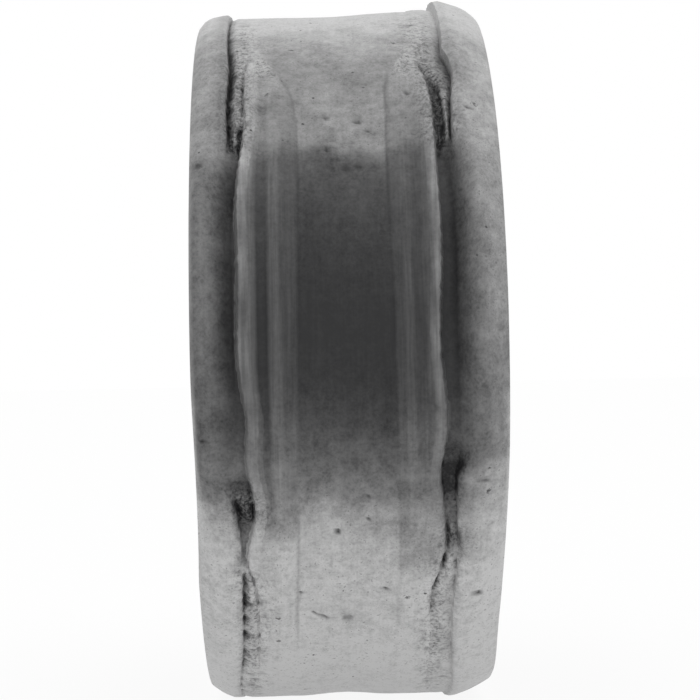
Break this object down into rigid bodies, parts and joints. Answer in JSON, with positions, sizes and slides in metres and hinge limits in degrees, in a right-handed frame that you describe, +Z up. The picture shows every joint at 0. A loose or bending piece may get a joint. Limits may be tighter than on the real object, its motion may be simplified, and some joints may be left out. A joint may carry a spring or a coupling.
{
  "type": "exhaust hanger ring",
  "caption": "Thick moulded rubber ring with bevelled collars and a wide bore, which hangs an exhaust pipe from a hook.",
  "frame": {"origin": "centre of the bore, half way between the two side faces", "axes": "+X along the bore towards the side with the higher and wider collar, +Z up along the load as the ring hangs, front towards -Y"},
  "size_m": [0.027, 0.07, 0.07],
  "materials": {
    "rubber": "satin black moulded rubber with a pale grey bloom"
  },
  "bodies": {
    "root": {"hanger_ring": "rubber"}
  },
  "joints": []
}
